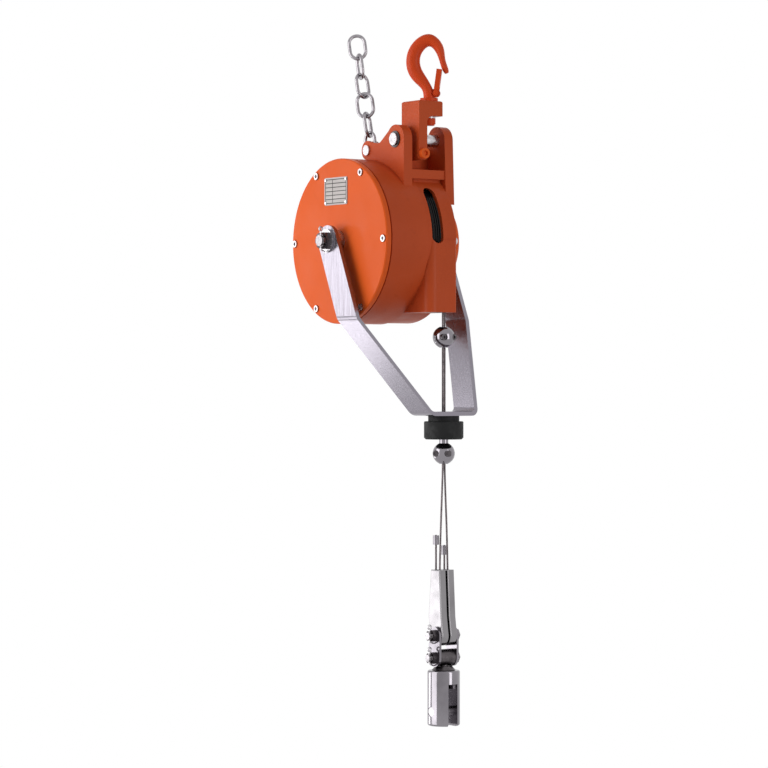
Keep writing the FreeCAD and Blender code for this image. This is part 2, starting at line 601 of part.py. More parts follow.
# ------------------------------------------------------------------ axle and what clamps it
def axle_group():
    front_washer_y = ARM_OUT_Y - GAP - WASHER_T
    rear_washer_y = REAR_ARM_OUT_Y + GAP
    front_end = front_washer_y - NUT_H - THREAD_END
    rear_end = rear_washer_y + WASHER_T + NUT_H + THREAD_END
    shaft = bar_y(AXLE_R, front_washer_y + WASHER_T, rear_washer_y)
    threads = [bar_y(THREAD_D / 2, front_end, front_washer_y + WASHER_T),
               bar_y(THREAD_D / 2, rear_washer_y, rear_end)]
    axle = shaft.fuse(threads)
    front_hole_y = front_washer_y - 0.81 * NUT_H
    rear_hole_y = rear_washer_y + WASHER_T + 0.81 * NUT_H
    cross = [bar_z(COTTER_D / 2 + SEAT, -THREAD_D, THREAD_D, 0, y) for y in (front_hole_y, rear_hole_y)]
    key_y0 = CASSETTE_Y + 4
    half = KEY_W / 2
    key = block(-half, half, key_y0, key_y0 + ARBOR_LEN - 6, AXLE_R - half, AXLE_R + half)
    save("axle", axle.cut(cross + [key]))
    save("arbor_key", key)
    arbor = ring_y(ARBOR_R, AXLE_R + SEAT, CASSETTE_Y, CASSETTE_Y + ARBOR_LEN)
    save("spring_arbor", arbor.cut(key))
    save("front_spacer", ring_y(SPACER_D / 2, AXLE_R + SEAT, ARM_IN_Y + GAP, 0))
    save("rear_spacer", ring_y(SPACER_D / 2, AXLE_R + SEAT, BULGE_Y, REAR_ARM_IN_Y - GAP))
    hole = THREAD_D / 2 + SEAT
    save("axle_washers", solids_of(ring_y(WASHER_D / 2, hole, front_washer_y, front_washer_y + WASHER_T),
                                   ring_y(WASHER_D / 2, hole, rear_washer_y, rear_washer_y + WASHER_T)))
    nut = castle_nut(NUT_AF, NUT_H, THREAD_D)
    save("axle_nuts", solids_of(aimed(nut, (0, front_washer_y, 0), (0, -1, 0)),
                                aimed(nut, (0, rear_washer_y + WASHER_T, 0), (0, 1, 0))))
    pins = []
    for y in (front_hole_y, rear_hole_y):
        pin = cotter_pin(COTTER_D, NUT_AF + 4)
        pin.translate(Vector(0, y, 0))
        pins.append(pin)
    save("axle_cotters", solids_of(*pins))


# ------------------------------------------------------------------ drum and spring motor
def rope_drum():
    bottom = DRUM_BOTTOM_R
    ridge = bottom + GROOVE_DEEP
    flange_r = DRUM_FLANGE_R
    groove_half = ROPE_D / 2 + 0.2
    outline = [(DRUM_HUB_R - 1, DRUM_Y0), (flange_r, DRUM_Y0), (flange_r, DRUM_Y0 + DRUM_FLANGE_T),
               (ridge, DRUM_Y0 + DRUM_FLANGE_T)]
    for k in range(GROOVE_COUNT - 1, -1, -1):
        centre = ROPE_Y + ROPE_SPACING / 2 - k * ROPE_SPACING
        outline += [(ridge, centre - groove_half), (bottom, centre - groove_half / 2),
                    (bottom, centre + groove_half / 2), (ridge, centre + groove_half)]
    outline += [(ridge, DRUM_Y1 - DRUM_FLANGE_T), (flange_r, DRUM_Y1 - DRUM_FLANGE_T),
                (flange_r, DRUM_Y1), (bottom - DRUM_RIM_T, DRUM_Y1),
                (bottom - DRUM_RIM_T, DRUM_Y0 + DRUM_WEB_T), (DRUM_HUB_R - 1, DRUM_Y0 + DRUM_WEB_T)]
    rim = turned(outline)
    hub_end = BULGE_Y - WALL - 6 - BUSH_COLLAR_T - 1.0
    hub = bar_y(DRUM_HUB_R, DRUM_Y0, hub_end)
    bore = bar_y(AXLE_R + 1, DRUM_Y0 - 1, hub_end + 1)
    seat = AXLE_R + BUSH_WALL + SEAT
    seats = [bar_y(seat, DRUM_Y0 - 1, DRUM_Y0 + BUSH_LEN), bar_y(seat, hub_end - BUSH_LEN, hub_end + 1)]
    holes = [bar_y(SCREW_D / 2 + SEAT, DRUM_Y0 - 1, DRUM_Y0 + DRUM_WEB_T + 1, x, z)
             for x, z in screw_places(0.7 * CASSETTE_R, 4)]
    save("rope_drum", rim.fuse(hub).cut([bore] + seats + holes))
    inner = AXLE_R + FIT
    outer = AXLE_R + BUSH_WALL
    bushes = [ring_y(outer, inner, DRUM_Y0, DRUM_Y0 + BUSH_LEN).fuse(
                  ring_y(BUSH_COLLAR_R, inner, DRUM_Y0 - BUSH_COLLAR_T, DRUM_Y0)),
              ring_y(outer, inner, hub_end - BUSH_LEN, hub_end).fuse(
                  ring_y(BUSH_COLLAR_R, inner, hub_end, hub_end + BUSH_COLLAR_T))]
    save("drum_bushes", solids_of(*bushes))


def wound_rope():
    """The last turn of each rope, from its leaving point at the +X side to its anchor."""
    rings = []
    for side in (-1, 1):
        ring = Part.makeTorus(DRUM_PITCH_R, ROPE_D / 2, Vector(0, 0, 0), Vector(0, 0, 1),
                              -180, 180, WOUND_ANGLE)
        ring.rotate(Vector(0, 0, 0), Vector(1, 0, 0), 90)
        ring.rotate(Vector(0, 0, 0), Vector(0, 1, 0), -WOUND_START)
        ring.translate(Vector(0, ROPE_Y + side * ROPE_SPACING / 2, 0))
        rings.append(ring)
    save("wound_rope", solids_of(*rings))


def cassette():
    y1 = DRUM_Y0
    cup = turned([(ARBOR_R + 4, y1 - CASSETTE_T), (CASSETTE_R - CASSETTE_T, y1 - CASSETTE_T),
                  (CASSETTE_R - CASSETTE_T, CASSETTE_Y), (CASSETTE_R, CASSETTE_Y), (CASSETTE_R, y1),
                  (ARBOR_R + 4, y1)])
    holes = [bar_y(SCREW_D / 2 + SEAT, y1 - 10, y1 + 1, x, z) for x, z in screw_places(0.7 * CASSETTE_R, 4)]
    save("spring_cassette", cup.cut(holes))
    length = CASSETTE_T + DRUM_WEB_T
    screws = [aimed(cap_screw(SCREW_D, length, SCREW_HEAD_D, 0.3 * SCREW_HEAD_H),
                    (x, y1 - CASSETTE_T, z), (0, -1, 0))
              for x, z in screw_places(0.7 * CASSETTE_R, 4)]
    save("cassette_screws", solids_of(*screws))


def half_turn(centre_x, radius, upper):
    side = 1 if upper else -1
    points = [Vector(centre_x + radius, 0, 0), Vector(centre_x, 0, side * radius),
              Vector(centre_x - radius, 0, 0)]
    if not upper:
        points.reverse()
    return Part.Arc(*points).toShape()


def mainspring():
    """Flat spiral spring as half turns about two centres, a quarter pitch apart."""
    inner_r = ARBOR_R + GAP
    outer_r = CASSETTE_R - CASSETTE_T - GAP
    step = (outer_r - inner_r - SPRING_T) / SPRING_TURNS
    edges = []
    for k in range(SPRING_TURNS):
        radius = inner_r + k * step
        for thick in (0, SPRING_T):
            edges.append(half_turn(0.0, radius + thick, True))
            edges.append(half_turn(step / 2, radius + step / 2 + thick, False))
    for x in (inner_r, inner_r + SPRING_TURNS * step):
        edges.append(Part.LineSegment(Vector(x, 0, 0), Vector(x + SPRING_T, 0, 0)).toShape())
    wire = Part.Wire(Part.__sortEdges__(edges))
    strip = Part.Face(wire).extrude(Vector(0, SPRING_W, 0))
    strip.translate(Vector(0, CASSETTE_Y + 3, 0))
    save("mainspring", strip)


# ------------------------------------------------------------------ suspension
def suspension_pins():
    grip0 = FRONT_EAR_Y - CIRCLIP_T - 3
    grip1 = REAR_EAR_Y1 + CIRCLIP_T + 3
    save("suspension_pin", bar_y(PIN_D / 2, grip0, grip1, PIN_X, PIN_Z))
    clip_r = PIN_D / 2 + SEAT
    clips = [ring_y(CIRCLIP_D / 2, clip_r, y, y + CIRCLIP_T, PIN_X, PIN_Z)
             for y in (FRONT_EAR_Y - CIRCLIP_T, REAR_EAR_Y1)]
    save("pin_circlips", solids_of(*clips))
    head = bar_y(0.75 * CHAIN_PIN_D, FRONT_EAR_Y - 3, FRONT_EAR_Y, 0, CHAIN_PIN_Z)
    shaft = bar_y(CHAIN_PIN_D / 2, FRONT_EAR_Y, FRONT_EAR_Y1 + 4, 0, CHAIN_PIN_Z)
    save("chain_pin", head.fuse(shaft))
    save("chain_pin_circlip", ring_y(0.75 * CHAIN_PIN_D, CHAIN_PIN_D / 2 + SEAT, FRONT_EAR_Y1,
                                     FRONT_EAR_Y1 + CIRCLIP_T, 0, CHAIN_PIN_Z))


def hook_block():
    tongue_y = BLOCK_Y0 + TONGUE_T
    fillet = TONGUE_FILLET
    fillet_z = BLOCK_UNDER - fillet
    bend = fillet * (1 - math.cos(math.radians(45)))
    corner = Vector(0, tongue_y + bend, BLOCK_UNDER - bend)
    lines = [((BLOCK_Y0, TONGUE_LOW), (tongue_y, TONGUE_LOW)),
             ((tongue_y, TONGUE_LOW), (tongue_y, fillet_z)),
             ((tongue_y + fillet, BLOCK_UNDER), (BLOCK_Y1, BLOCK_UNDER)),
             ((BLOCK_Y1, BLOCK_UNDER), (BLOCK_Y1, BLOCK_TOP)),
             ((BLOCK_Y1, BLOCK_TOP), (BLOCK_Y0, BLOCK_TOP)), ((BLOCK_Y0, BLOCK_TOP), (BLOCK_Y0, TONGUE_LOW))]
    edges = [Part.LineSegment(Vector(0, *a), Vector(0, *b)).toShape() for a, b in lines]
    arc = Part.Arc(Vector(0, tongue_y, fillet_z), corner, Vector(0, tongue_y + fillet, BLOCK_UNDER))
    edges.append(arc.toShape())
    face = Part.Face(Part.Wire(Part.__sortEdges__(edges)))
    face.translate(Vector(BLOCK_X0, 0, 0))
    body = face.extrude(Vector(BLOCK_X1 - BLOCK_X0, 0, 0))
    top = [edge for edge in body.Edges if edge.BoundBox.ZMin > BLOCK_TOP - 0.01]
    body = body.makeFillet(3.0, top)
    foot = [edge for edge in body.Edges
            if edge.BoundBox.ZMax < TONGUE_LOW + 0.01
            and edge.BoundBox.XLength > 1 and edge.BoundBox.YLength < 0.01]
    body = body.makeFillet(TONGUE_ROUND, foot)
    screw_y = BLOCK_Y0 + TONGUE_T / 2
    tools = [bar_y(PIN_D / 2 + FIT, BLOCK_Y0 - 1, tongue_y + 1, PIN_X, PIN_Z),
             bar_z(HOOK_SHANK_D / 2 + FIT, BLOCK_UNDER - 20, BLOCK_TOP + 1, HOOK_X, HOOK_Y),
             bar_x(TILT_SCREW_D / 2 + SEAT, BLOCK_X0 - 1, BLOCK_X1 + 1, screw_y, TILT_SCREW_Z)]
    save("hook_block", body.cut(tools))
    tip = STOP_WEB_X + STOP_WEB_T + GAP
    screw = cap_screw(TILT_SCREW_D, BLOCK_X1 - tip, TILT_SCREW_HEAD_D, TILT_SCREW_HEAD_H)
    save("tilt_screw", aimed(screw, (BLOCK_X1, screw_y, TILT_SCREW_Z), (1, 0, 0)))
    save("hook_thrust_washer", ring_z(HOOK_NUT_D / 2, HOOK_SHANK_D / 2 + FIT, BLOCK_UNDER - THRUST_T,
                                      BLOCK_UNDER, HOOK_X, HOOK_Y))


# Sections of the forged hook, in its own plane: sideways u, height above the block's top, heading of
# the centre line in degrees, half width in the plane and half thickness across it.
HOOK_SECTIONS = [(0.0, 3.0, 90.0, 7.8, 7.8), (-1.5, 16.0, 100.0, 7.6, 7.8),
                 (-8.0, 27.5, 124.0, 8.0, 8.2), (-16.6, 38.5, 124.0, 9.6, 8.6),
                 (-22.4, 51.5, 102.0, 10.1, 8.8), (-22.6, 65.5, 80.0, 9.9, 9.0),
                 (-15.5, 80.5, 47.0, 9.6, 9.0), (-2.0, 89.3, 2.0, 9.3, 8.8),
                 (10.5, 83.5, -48.0, 7.6, 8.2), (17.3, 69.5, -76.0, 5.6, 7.2),
                 (21.0, 55.0, -73.0, 4.4, 6.0), (26.0, 41.5, -66.0, 2.6, 4.2)]


def hook_place(shape):
    """From the hook's own plane to its place on the shank's axis."""
    placed = shape.copy()
    placed.rotate(Vector(0, 0, 0), Vector(0, 0, 1), HOOK_TURN)
    placed.translate(Vector(HOOK_X, HOOK_Y, 0))
    return placed


def oval_section(u, w, heading, half_wide, half_thick):
    """Closed smooth outline with the same starting side on every section."""
    along = Vector(math.cos(math.radians(heading)), 0, math.sin(math.radians(heading)))
    across = Vector(-along.z, 0, along.x)
    points = []
    for k in range(12):
        angle = math.radians(30 * k)
        point = Vector(u, 0, BLOCK_TOP + w) + across * (half_wide * math.cos(angle))
        points.append(point + Vector(0, half_thick * math.sin(angle), 0))
    curve = Part.BSplineCurve()
    curve.interpolate(points, PeriodicFlag=True)
    return Part.Wire(curve.toShape())


def hook():
    bend = Part.makeLoft([oval_section(*section) for section in HOOK_SECTIONS], True, False)
    collar_z = BLOCK_TOP + GAP
    collar = bar_z(HOOK_COLLAR_D / 2, collar_z, collar_z + HOOK_COLLAR_H, 0, 0)
    shank = bar_z(HOOK_SHANK_D / 2, BLOCK_UNDER - THRUST_T - GAP - HOOK_NUT_H - 2, collar_z + 1, 0, 0)
    lug = bar_y(LUG_R, -LUG_T / 2, LUG_T / 2, LUG_U, LUG_Z)
    lug = lug.fuse(block(0, LUG_U, -LUG_T / 2, LUG_T / 2, LUG_Z - LUG_R, LUG_Z + LUG_R))
    body = bend.fuse([collar, shank, lug])
    body = body.cut(bar_y(LATCH_PIN_D / 2 + SEAT, -20, 20, LUG_U, LUG_Z))
    save("hook", hook_place(body))
    nut_top = BLOCK_UNDER - THRUST_T - GAP
    nut_low = nut_top - HOOK_NUT_H
    save("hook_nut", ring_z(HOOK_NUT_D / 2, HOOK_SHANK_D / 2 + SEAT, nut_low, nut_top, HOOK_X, HOOK_Y))


def latch():
    half = LATCH_INSIDE / 2
    outer = half + LATCH_SHEET
    wide = LATCH_W / 2
    body = block(-wide, wide, -outer, outer, 0, LATCH_LEN).fuse(bar_y(wide + 1, -outer, outer, 0, 0))
    inside = block(-wide - 5, wide - LATCH_SHEET, -half, half, -wide - 5, LATCH_LEN + 1)
    foot = block(wide - LATCH_SHEET - 1, wide + 5, -half, half, -wide - 5, LUG_R + 3)
    body = body.cut([inside, foot, bar_y(LATCH_PIN_D / 2 + FIT, -20, 20)])
    body.rotate(Vector(0, 0, 0), Vector(0, 1, 0), LATCH_LEAN)
    body.translate(Vector(LUG_U, 0, LUG_Z))
    save("latch", hook_place(body))
    pin = bar_y(LATCH_PIN_D / 2, -outer - 0.5, outer + 0.5, LUG_U, LUG_Z)
    heads = [bar_y(0.75 * LATCH_PIN_D, -outer - 1.8, -outer - 0.4, LUG_U, LUG_Z),
             bar_y(0.75 * LATCH_PIN_D, outer + 0.4, outer + 1.8, LUG_U, LUG_Z)]
    save("latch_pin", hook_place(fuse_all([pin] + heads)))
    coils = []
    for k in range(2):
        y = LATCH_INSIDE / 2 - 0.1 - LATCH_WIRE * (k + 0.5)
        radius = LATCH_PIN_D / 2 + LATCH_WIRE / 2 + 0.1
        coils.append(Part.makeTorus(radius, LATCH_WIRE / 2, Vector(LUG_U, y, LUG_Z), Vector(0, 1, 0)))
    save("latch_spring", hook_place(solids_of(*coils)))


def chain_link():
    """One link standing along Z in the XZ plane, about its middle."""
    bend_r = (LINK_WIDTH - LINK_WIRE) / 2
    half = (LINK_PITCH + LINK_WIRE) / 2 - bend_r
    wire_r = LINK_WIRE / 2
    sides = [bar_z(wire_r, -half, half, x, 0) for x in (-bend_r, bend_r)]
    bow = Part.makeTorus(bend_r, wire_r, Vector(0, 0, 0), Vector(0, 0, 1), -180, 180, 180)
    top = bow.copy()
    top.rotate(Vector(0, 0, 0), Vector(1, 0, 0), 90)
    top.translate(Vector(0, 0, half))
    bottom = bow.copy()
    bottom.rotate(Vector(0, 0, 0), Vector(1, 0, 0), -90)
    bottom.translate(Vector(0, 0, -half))
    return sides[0].fuse([sides[1], top, bottom]).removeSplitter()


def chain():
    first = LINK_PITCH / 2 - CHAIN_PIN_D / 2 - GAP
    step = LINK_PITCH - GAP
    for k in range(LINK_COUNT):
        link = chain_link()
        link.rotate(Vector(0, 0, 0), Vector(0, 0, 1), LINK_TURNS[k])
        link.translate(Vector(0, 0, first + k * step))
        link.rotate(Vector(0, 0, 0), Vector(0, 1, 0), -CHAIN_LEAN)
        link.translate(Vector(0, LINK_Y, CHAIN_PIN_Z))
        save("chain_link_%d" % (k + 1), link)


# ------------------------------------------------------------------ stirrup and bumper
def folds_at(bar, places, length):
    """The bar's level edges that lie at these (y, z) places."""
    found = []
    for edge in bar.Edges:
        box = edge.BoundBox
        if box.XLength > length - 0.01:
            if any(math.hypot(box.YMin - y, box.ZMin - z) < 0.01 for y, z in places):
                found.append(edge)
    return found


def stirrup():
    """Flat bar folded about level lines, trimmed to arms that slope from the axle to the rope line."""
    base_y0 = ROPE_Y - STIRRUP_BASE_FRONT
    base_y1 = ROPE_Y + STIRRUP_BASE_REAR
    base_low = STIRRUP_BASE_Z - STIRRUP_T
    rise = STIRRUP_BEND_Z - base_low
    front_run = base_y0 - ARM_OUT_Y
    rear_run = REAR_ARM_OUT_Y - base_y1
    front_shift = STIRRUP_T * math.hypot(front_run, rise) / rise
    rear_shift = STIRRUP_T * math.hypot(rear_run, rise) / rise
    drop = rise - STIRRUP_T
    front_in = (ARM_OUT_Y + front_shift + front_run * drop / rise, STIRRUP_BASE_Z)
    rear_in = (REAR_ARM_OUT_Y - rear_shift - rear_run * drop / rise, STIRRUP_BASE_Z)
    front_bend = (ARM_IN_Y, STIRRUP_BEND_Z - (ARM_IN_Y - ARM_OUT_Y - front_shift) * rise / front_run)
    rear_bend = (REAR_ARM_IN_Y, STIRRUP_BEND_Z - (STIRRUP_T - rear_shift) * rise / rear_run)
    eye_r = STIRRUP_W / 2
    top = eye_r + STIRRUP_SPARE
    bar_len = ROPE_X + 2 * top
    outline = [(ARM_OUT_Y, top), (ARM_OUT_Y, STIRRUP_BEND_Z), (base_y0, base_low), (base_y1, base_low),
               (REAR_ARM_OUT_Y, STIRRUP_BEND_Z), (REAR_ARM_OUT_Y, top), (REAR_ARM_IN_Y, top),
               rear_bend, rear_in, front_in, front_bend, (ARM_IN_Y, top)]
    corners = [Vector(-top, y, z) for y, z in outline]
    bar = Part.Face(Part.makePolygon(corners + corners[:1])).extrude(Vector(bar_len, 0, 0))
    inner = [front_bend, rear_bend, front_in, rear_in]
    outer = [(ARM_OUT_Y, STIRRUP_BEND_Z), (base_y0, base_low), (base_y1, base_low),
             (REAR_ARM_OUT_Y, STIRRUP_BEND_Z)]
    bar = bar.makeFillet(STIRRUP_BEND_R, folds_at(bar, inner, bar_len))
    bar = bar.makeFillet(STIRRUP_BEND_R + STIRRUP_T, folds_at(bar, outer, bar_len))
    low_z = base_low - STIRRUP_SPARE
    slope = ROPE_X / -(STIRRUP_BASE_Z - STIRRUP_T / 2)
    half = eye_r * math.hypot(1, slope)
    low_x = -low_z * slope
    lean = math.atan(slope)
    dx = eye_r * math.cos(lean)
    dz = eye_r * math.sin(lean)
    y0 = ARM_OUT_Y - STIRRUP_T
    y1 = REAR_ARM_OUT_Y + STIRRUP_T
    side = plate_y([(dx, dz), (low_x + half, low_z), (low_x - half, low_z), (-dx, -dz)], y0, y1)
    body = bar.common(side.fuse(bar_y(eye_r, y0, y1)))
    tools = [bar_y(AXLE_R + FIT, y0, y1),
             bar_z(BASE_HOLE_R, base_low - STIRRUP_T, STIRRUP_BASE_Z + STIRRUP_T, ROPE_X, ROPE_Y)]
    save("stirrup", body.cut(tools).removeSplitter())


def bumper():
    top = STIRRUP_BASE_Z - STIRRUP_T
    low = top - BUMPER_COLLAR_H - BUMPER_H
    outline = [(BUMPER_HOLE_D / 2, top), (BUMPER_COLLAR_D / 2, top),
               (BUMPER_COLLAR_D / 2, top - BUMPER_COLLAR_H),
               (BUMPER_D / 2 - 1, top - BUMPER_COLLAR_H), (BUMPER_D / 2, top - BUMPER_COLLAR_H - 1),
               (BUMPER_D / 2, low + BUMPER_CHAMFER), (BUMPER_D / 2 - BUMPER_CHAMFER, low),
               (BUMPER_HOLE_D / 2, low)]
    body = turned(outline)
    body.rotate(Vector(0, 0, 0), Vector(1, 0, 0), 90)
    body.translate(Vector(ROPE_X, ROPE_Y, 0))
    save("bumper", body)


# ------------------------------------------------------------------ ropes and clamps
def clamp(name, centre, neck_h, turn):
    """Split ball on both ropes, held by two screws and turned about them; its neck points up."""
    low = centre - CLAMP_H / 2
    high = centre + CLAMP_H / 2
    ball = Part.makeSphere(CLAMP_D / 2, Vector(ROPE_X, ROPE_Y, centre))
    ball = ball.common(bar_z(CLAMP_D, low, high, ROPE_X, ROPE_Y))
    body = fuse_all([ball, bar_z(CLAMP_NECK_D / 2, low, high + neck_h, ROPE_X, ROPE_Y)])
    split = block(ROPE_X - CLAMP_SPLIT / 2, ROPE_X + CLAMP_SPLIT / 2, ROPE_Y - CLAMP_D, ROPE_Y + CLAMP_D,
                  centre - CLAMP_D, centre + CLAMP_D)
    seat_x = ROPE_X + CLAMP_SEAT
    head_d = 1.5 * CLAMP_SCREW_D
    tools = [split]
    screws = []
    for side in (-1, 1):
        y = ROPE_Y + side * CLAMP_SCREW_SPACING / 2
        tools.append(bar_x(CLAMP_SCREW_D / 2 + SEAT, ROPE_X - CLAMP_SEAT, seat_x + 1, y, centre))
        tools.append(bar_x(head_d / 2 + GAP, seat_x, ROPE_X + CLAMP_D, y, centre))
        screw = cap_screw(CLAMP_SCREW_D, 2 * CLAMP_SEAT - GAP, head_d, 0.7 * CLAMP_SCREW_D)
        screws.append(aimed(screw, (seat_x, y, centre), (1, 0, 0)))
    axis = Vector(ROPE_X, ROPE_Y, centre)
    for shape in tools + screws:
        shape.rotate(axis, Vector(0, 0, 1), turn)
    for side in (-1, 1):
        y = ROPE_Y + side * ROPE_SPACING / 2
        tools.append(bar_z(ROPE_D / 2 + SEAT, low - 1, high + neck_h + 1, ROPE_X, y))
    save(name + "_halves", solids_of(body.cut(tools)))
    save(name + "_screws", solids_of(*screws))


def smooth_tube(points, radius):
    """Round tube along straight runs joined by tangent arcs."""
    edges = []
    start = points[0]
    total = 0.0
    for k in range(1, len(points) - 1):
        before = points[k] - points[k - 1]
        after = points[k + 1] - points[k]
        turn = before.getAngle(after)
        cut = min(ROPE_BEND_CUT, 0.45 * before.Length, 0.45 * after.Length)
        bend_r = cut / math.tan(turn / 2)
        one = points[k] - before.normalize() * cut
        two = points[k] + after.normalize() * cut
        middle = (one + two) * 0.5
        inward = (middle - points[k]).normalize()
        depth = bend_r / math.cos(turn / 2) - bend_r
        edges.append(Part.LineSegment(start, one).toShape())
        edges.append(Part.Arc(one, points[k] + inward * depth, two).toShape())
        total += start.distanceToPoint(one) + bend_r * turn
        print("bend radius %.0f mm" % bend_r)
        start = two
    edges.append(Part.LineSegment(start, points[-1]).toShape())
    total += start.distanceToPoint(points[-1])
    path = Part.Wire(edges)
    profile = Part.Wire(Part.Circle(points[0], (points[1] - points[0]).normalize(), radius).toShape())
    tube = path.makePipeShell([profile], True, False)
    print("tube volume %.0f, section times length %.0f" % (tube.Volume, math.pi * radius ** 2 * total))
    return tube


def rope_points(side):
    """Route of one rope from the drum to its wedge socket."""
    near = ROPE_Y + side * ROPE_SPACING / 2
    far = ROPE_Y + side * SOCKET_SPACING / 2
    leave = LOWER_CLAMP_Z - CLAMP_H / 2 - 2 - ROPE_BEND_CUT
    return [Vector(ROPE_X, near, ROPE_TOP_Z), Vector(ROPE_X, near, leave),
            Vector(ROPE_X, far, SOCKET_TOP_Z + 12), Vector(ROPE_X, far, WEDGE_BOTTOM_Z)]


def ropes():
    for side, name in ((-1, "rope_front"), (1, "rope_rear")):
        save(name, smooth_tube(rope_points(side), ROPE_D / 2))


# ------------------------------------------------------------------ wedge sockets
def socket_outline(inset, y0, y1):
    wide_z = WEDGE_BOTTOM_Z - WEDGE_R
    mouth = [(ROPE_X - SOCKET_MOUTH_IN + inset, SOCKET_TOP_Z),
             (ROPE_X + SOCKET_MOUTH_OUT - inset, SOCKET_TOP_Z),
             (ROPE_X + SOCKET_WIDE_OUT - inset, wide_z), (ROPE_X + SOCKET_EYE_R - inset, SOCKET_BOLT_Z),
             (ROPE_X - SOCKET_EYE_R + inset, SOCKET_BOLT_Z), (ROPE_X - SOCKET_WIDE_IN + inset, wide_z)]
    return plate_y(mouth, y0, y1)


def sockets():
    bodies = []
    wedges = []
    for side in (-1, 1):
        y = ROPE_Y + side * SOCKET_SPACING / 2
        y0 = y - SOCKET_T / 2
        y1 = y + SOCKET_T / 2
        body = fuse_all([socket_outline(0, y0, y1), bar_y(SOCKET_EYE_R, y0, y1, ROPE_X, SOCKET_BOLT_Z)])
        rims = [edge for edge in body.Edges if edge.BoundBox.YLength < 0.01]
        body = body.makeFillet(SOCKET_ROUND, rims)
        pocket_half = ROPE_D / 2 + 1.2
        cavity = block(ROPE_X - TAIL_X - 2.0, ROPE_X + 2.0, y - pocket_half, y + pocket_half,
                       WEDGE_BOTTOM_Z - WEDGE_R - 6, SOCKET_TOP_Z + 1)
        low = bar_y(WEDGE_R + ROPE_D + 1, y - pocket_half, y + pocket_half, ROPE_X - WEDGE_R, WEDGE_BOTTOM_Z)
        low = low.common(socket_outline(SOCKET_WALL, y - pocket_half, y + pocket_half))
        body = body.cut([cavity, low, bar_y(LINK_BOLT_D / 2 + FIT, y0 - 1, y1 + 1, ROPE_X, SOCKET_BOLT_Z)])
        bodies.append(body)
        half = WEDGE_T / 2 - 0.3
        wedges.append(strap((ROPE_X - TAIL_X / 2, WEDGE_BOTTOM_Z, TAIL_X / 2 - ROPE_D / 2 - GAP),
                            (ROPE_X - TAIL_X / 2, SOCKET_TOP_Z - 6, 1.4), y - half, y + half))
    save("wedge_sockets", solids_of(*bodies))
    save("wedges", solids_of(*wedges))


def rope_tails():
    """Dead ends of the ropes: round the wedge's foot and back up out of the socket."""
    tails = []
    ferrules = []
    for side, top in ((-1, FRONT_TAIL_TOP), (1, REAR_TAIL_TOP)):
        y = ROPE_Y + side * SOCKET_SPACING / 2
        loop = Part.makeTorus(TAIL_X / 2, ROPE_D / 2, Vector(0, 0, 0), Vector(0, 0, 1), -180, 180, 180)
        loop.rotate(Vector(0, 0, 0), Vector(1, 0, 0), -90)
        loop.translate(Vector(ROPE_X - TAIL_X / 2, y, WEDGE_BOTTOM_Z))
        tail = bar_z(ROPE_D / 2, WEDGE_BOTTOM_Z, top, ROPE_X - TAIL_X, y)
        tails.append(loop.fuse(tail))
        ferrules.append(ring_z(FERRULE_D / 2, ROPE_D / 2 + SEAT, top - FERRULE_H, top - 0.5,
                               ROPE_X - TAIL_X, y))
    save("rope_tails", solids_of(*tails))
    save("tail_ferrules", solids_of(*ferrules))


# ------------------------------------------------------------------ link plates, swivel and fork
def link_bolt(z, half_span):
    y0 = ROPE_Y - half_span
    y1 = ROPE_Y + half_span
    bolt = bar_y(LINK_BOLT_D / 2, y0 - LINK_NUT_H - 2, y1, ROPE_X, z)
    head = hexagon(LINK_NUT_AF, 0.6 * LINK_BOLT_D)
    head = aimed(head, (ROPE_X, y1, z), (0, 1, 0))
    hole_y = y0 - 0.81 * LINK_NUT_H
    hole = bar_z(COTTER_D / 2 + SEAT, z - 20, z + 20, ROPE_X, hole_y)
    nut = aimed(castle_nut(LINK_NUT_AF, LINK_NUT_H, LINK_BOLT_D), (ROPE_X, y0, z), (0, -1, 0))
    pin = cotter_pin(COTTER_D, LINK_NUT_AF + 3)
    pin.translate(Vector(ROPE_X, hole_y, z))
    return bolt.fuse(head).cut(hole), nut, pin


def links():
    inner = SOCKET_SPACING / 2 + SOCKET_T / 2 + GAP
    outer = inner + LINK_PLATE_T
    plates = []
    for y0 in (ROPE_Y - outer, ROPE_Y + inner):
        plate = strap((ROPE_X, SOCKET_BOLT_Z, LINK_PLATE_R), (ROPE_X, EYE_BOLT_Z, LINK_PLATE_R),
                      y0, y0 + LINK_PLATE_T)
        holes = [bar_y(LINK_BOLT_D / 2 + SEAT, y0 - 1, y0 + LINK_PLATE_T + 1, ROPE_X, z)
                 for z in (SOCKET_BOLT_Z, EYE_BOLT_Z)]
        plates.append(plate.cut(holes))
    save("link_plates", solids_of(*plates))
    bolts = []
    nuts = []
    pins = []
    for z in (SOCKET_BOLT_Z, EYE_BOLT_Z):
        bolt, nut, pin = link_bolt(z, outer)
        bolts.append(bolt)
        nuts.append(nut)
        pins.append(pin)
    save("link_bolts", solids_of(*bolts))
    save("link_nuts", solids_of(*nuts))
    save("link_cotters", solids_of(*pins))


